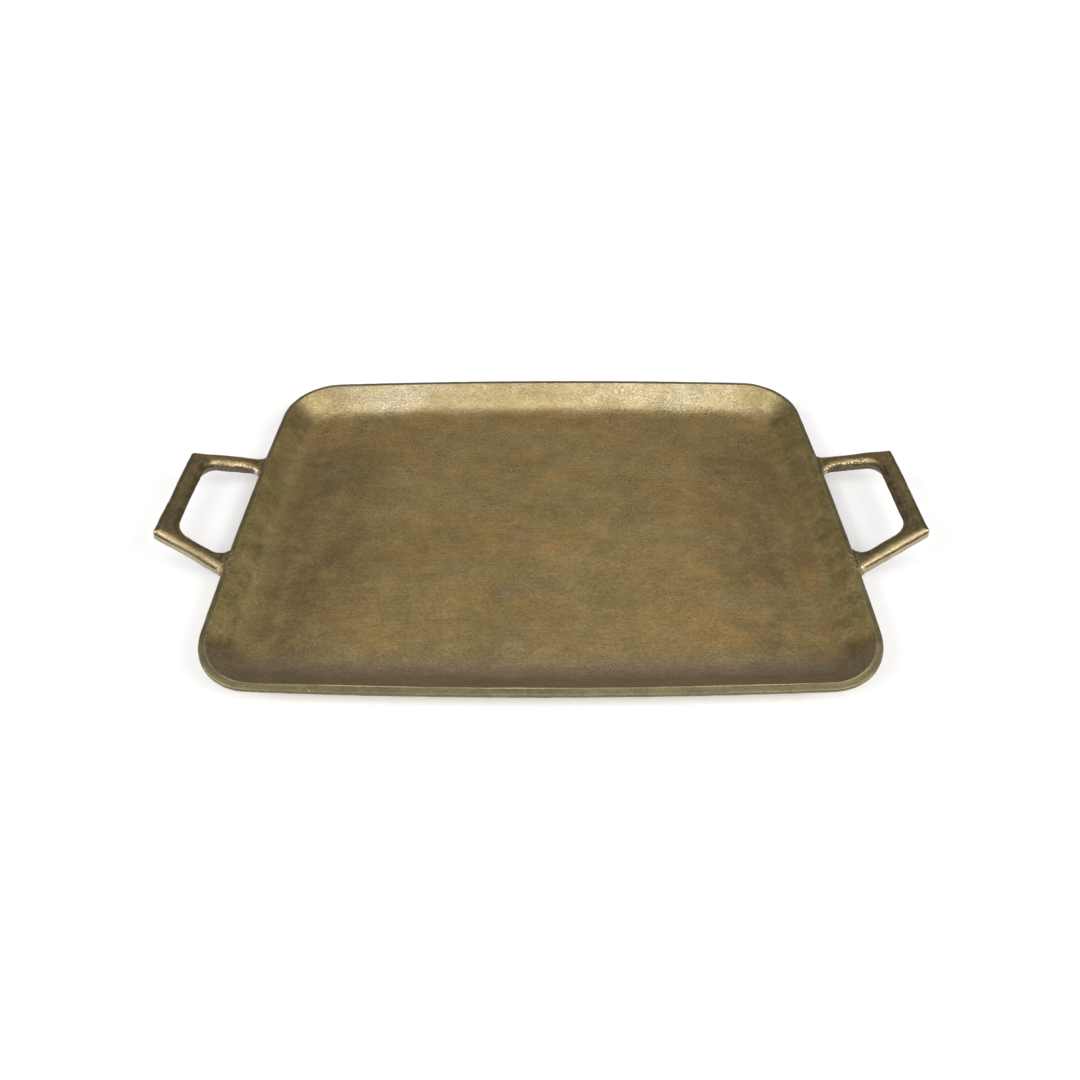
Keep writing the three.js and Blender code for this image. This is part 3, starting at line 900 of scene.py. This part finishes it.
def make_camera():
    data = bpy.data.cameras.new("camera")
    data.sensor_width = 36
    data.lens = CAMERA_LENS
    camera = add_object("camera", data)
    ce, se = math.cos(CAMERA_ELEVATION), math.sin(CAMERA_ELEVATION)
    forward = Vector((math.sin(CAMERA_YAW) * ce, math.cos(CAMERA_YAW) * ce, -se))
    right = Vector((math.cos(CAMERA_YAW), -math.sin(CAMERA_YAW), 0))
    upward = right.cross(forward)
    cr, sr = math.cos(CAMERA_ROLL), math.sin(CAMERA_ROLL)
    right, upward = right * cr + upward * sr, upward * cr - right * sr
    turn = Matrix((right, upward, -forward)).transposed().to_4x4()
    camera.matrix_world = Matrix.Translation(CAMERA_AIM - forward * CAMERA_DISTANCE) @ turn
    bpy.context.scene.camera = camera


def panel_light(name, place, aim, size, power, spread=180):
    """A rectangular soft light at a place, facing along a direction."""
    data = bpy.data.lights.new(name, "AREA")
    data.shape = "RECTANGLE"
    data.size, data.size_y = size
    data.energy = power
    data.spread = math.radians(spread)
    light = add_object(name, data)
    turn = Vector(aim).to_track_quat("-Z", "Y").to_matrix().to_4x4()
    light.matrix_world = Matrix.Translation(place) @ turn


def softbox(name, towards, distance, size, power):
    """A soft light in a direction from the tray, facing it."""
    place = Vector(towards).normalized() * distance
    panel_light(name, place, -place, size, power)


SKY_COLOUR = (1.0, 0.985, 0.96, 1)
SKY_LOW = 0.10
SKY_HIGH = 0.40
SKY_SIDE_LOSS = 0.75
SKY_LEFT = 0.88
SKY_RIGHT = 1.10


def make_world():
    """A grey studio: dim at table height and to the sides, a little darker on the left."""
    world = bpy.data.worlds.new("studio")
    bpy.context.scene.world = world
    world.use_nodes = True
    tree = world.node_tree
    back = tree.nodes["Background"]
    coords = tree.nodes.new("ShaderNodeTexCoord")
    parts = tree.nodes.new("ShaderNodeSeparateXYZ")
    tree.links.new(coords.outputs["Generated"], parts.inputs[0])

    def ramp(value, low, high, to_low, to_high):
        node = tree.nodes.new("ShaderNodeMapRange")
        node.interpolation_type = "SMOOTHSTEP"
        tree.links.new(value, node.inputs["Value"])
        node.inputs["From Min"].default_value = low
        node.inputs["From Max"].default_value = high
        node.inputs["To Min"].default_value = to_low
        node.inputs["To Max"].default_value = to_high
        return node.outputs["Result"]

    def times(a, b):
        node = tree.nodes.new("ShaderNodeMath")
        node.operation = "MULTIPLY"
        tree.links.new(a, node.inputs[0])
        tree.links.new(b, node.inputs[1])
        return node.outputs[0]

    rise = ramp(parts.outputs["Z"], 0.05, 0.60, SKY_LOW, SKY_HIGH)
    lean = ramp(parts.outputs["X"], -0.6, 0.6, SKY_LEFT, SKY_RIGHT)
    squared = times(parts.outputs["X"], parts.outputs["X"])
    aside = ramp(squared, 0.0, 0.55, 1.0, 1.0 - SKY_SIDE_LOSS)
    tree.links.new(times(times(rise, lean), aside), back.inputs["Strength"])
    back.inputs["Color"].default_value = SKY_COLOUR


KEY_SIZE = (1.9, 3.0)
KEY_POWER = 40
SIDE_SIZE = (1.5, 1.5)
SIDE_POWER = 58
WASH_SIZE = (3.2, 0.9)
WASH_POWER = 6
WASH_SPREAD = 66
FLOOR_GLOW = 0.16
FLOOR_GREYS = ((0.86, 0.86, 0.86), (0.88, 0.88, 0.88))
FLOOR_REACH = 5.0


def make_floor():
    """A pale floor that glows a little, so that it stays white beside the tray."""
    m = Nodes("pale_floor")
    m.feed(m.shader.inputs["Emission Color"], (1, 1, 1, 1))
    m.shader.inputs["Emission Strength"].default_value = FLOOR_GLOW
    m.feed(m.shader.inputs["Base Color"], m.mix(m.noise(900, 2, 0.5), *FLOOR_GREYS))
    m.shader.inputs["Roughness"].default_value = 0.9
    edge = FLOOR_REACH
    corners = [(-edge, -edge, 0), (edge, -edge, 0), (edge, edge, 0), (-edge, edge, 0)]
    mesh = bpy.data.meshes.new("floor")
    mesh.from_pydata(corners, [], [(0, 1, 2, 3)])
    mesh.materials.append(m.material)
    add_object("floor", mesh)


def make_studio():
    make_world()
    softbox("key", (0.10, -0.50, 0.86), 3.2, KEY_SIZE, KEY_POWER)
    softbox("side_left", (-1.0, -0.35, 0.75), 3.4, SIDE_SIZE, SIDE_POWER)
    softbox("side_right", (1.0, -0.35, 0.75), 3.4, SIDE_SIZE, SIDE_POWER)
    # a narrow wash straight down on the floor behind the tray, which hardly lights the tray
    panel_light("backdrop_wash", (0, 1.15, 0.8), (0, 0, -1), WASH_SIZE, WASH_POWER, WASH_SPREAD)
    make_floor()
    view = bpy.context.scene.view_settings
    view.view_transform = "Standard"
    view.look = "None"


# ---- putting it together ---------------------------------------------------------------------------
def dress(piece, node, material):
    piece.data.materials.append(material)
    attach(piece, "root")
    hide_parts(node)


FILLER_GRAIN = 0.42 * MM
WELD_START = RIM_LINE + JOINT_LENGTH - 0.5 * MM
WELD_FULL = RIM_LINE + 2 * MM
WELD_SINK = 0.46


def grow_joint(piece):
    """The CAD joint grown over its seams, remeshed and softened like cast filler."""
    grow = piece.modifiers.new("grow", "DISPLACE")
    grow.strength = SEAM_FILL
    grow.mid_level = 0
    remesh = piece.modifiers.new("remesh", "REMESH")
    remesh.mode = "VOXEL"
    remesh.voxel_size = FILLER_GRAIN
    soften = piece.modifiers.new("soften", "SMOOTH")
    soften.iterations = 6
    soften.factor = 0.5
    bpy.context.view_layer.update()
    grown = piece.evaluated_get(bpy.context.evaluated_depsgraph_get())
    piece.data = bpy.data.meshes.new_from_object(grown)
    piece.modifiers.clear()


def point_values(mesh, what):
    """The co or the normal of every point of a mesh, as rows of three."""
    values = np.zeros(len(mesh.vertices) * 3)
    mesh.vertices.foreach_get(what, values)
    return values.reshape(-1, 3)


def make_joint(node, side, seed):
    """A joint that is lumpy braze at the rim and runs smoothly into its arm."""
    piece = add_object(node + "_skin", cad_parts[node].data.copy())
    piece.data.materials.clear()
    grow_joint(piece)
    mesh = piece.data
    points = point_values(mesh, "co")
    normal = point_values(mesh, "normal")
    out, up = from_world(points, side)
    # the filler thins out to nothing where it meets the arm
    weld = smoothstep(WELD_START, WELD_FULL, out)
    push = 0.10 * field(points, 5 * MM, seed, 40) + 0.04 * field(points, 1.8 * MM, seed + 1, 50)
    push = np.clip(push, -0.3, 0.12) * (0.3 + 0.7 * weld) - WELD_SINK * (1 - weld)
    marks = bar_marks(points, normal, up, side)
    marks["weld"] = weld
    marks["far_arm"] = marks["crown"] * (points[:, 1] > 0)
    store_marks(mesh, marks, len(points))
    points += normal * push[:, None] * MM
    mesh.vertices.foreach_set("co", points.ravel())
    mesh.shade_smooth()
    mesh.update()
    return piece


make_camera()
make_studio()
dress(add_object("tray_pan_skin", make_pan()), "tray_pan", pan_material())
bar_brass = handle_material()
braze = joint_material()
for side_name, side, seed in (("left", -1, 40), ("right", 1, 60)):
    node = "handle_" + side_name
    skin = add_object(node + "_skin", make_handle(node + "_skin", side, seed))
    dress(skin, node, bar_brass)
    for place, joint_seed in (("front", seed + 5), ("rear", seed + 8)):
        node = f"joint_{side_name}_{place}"
        dress(make_joint(node, side, joint_seed), node, braze)
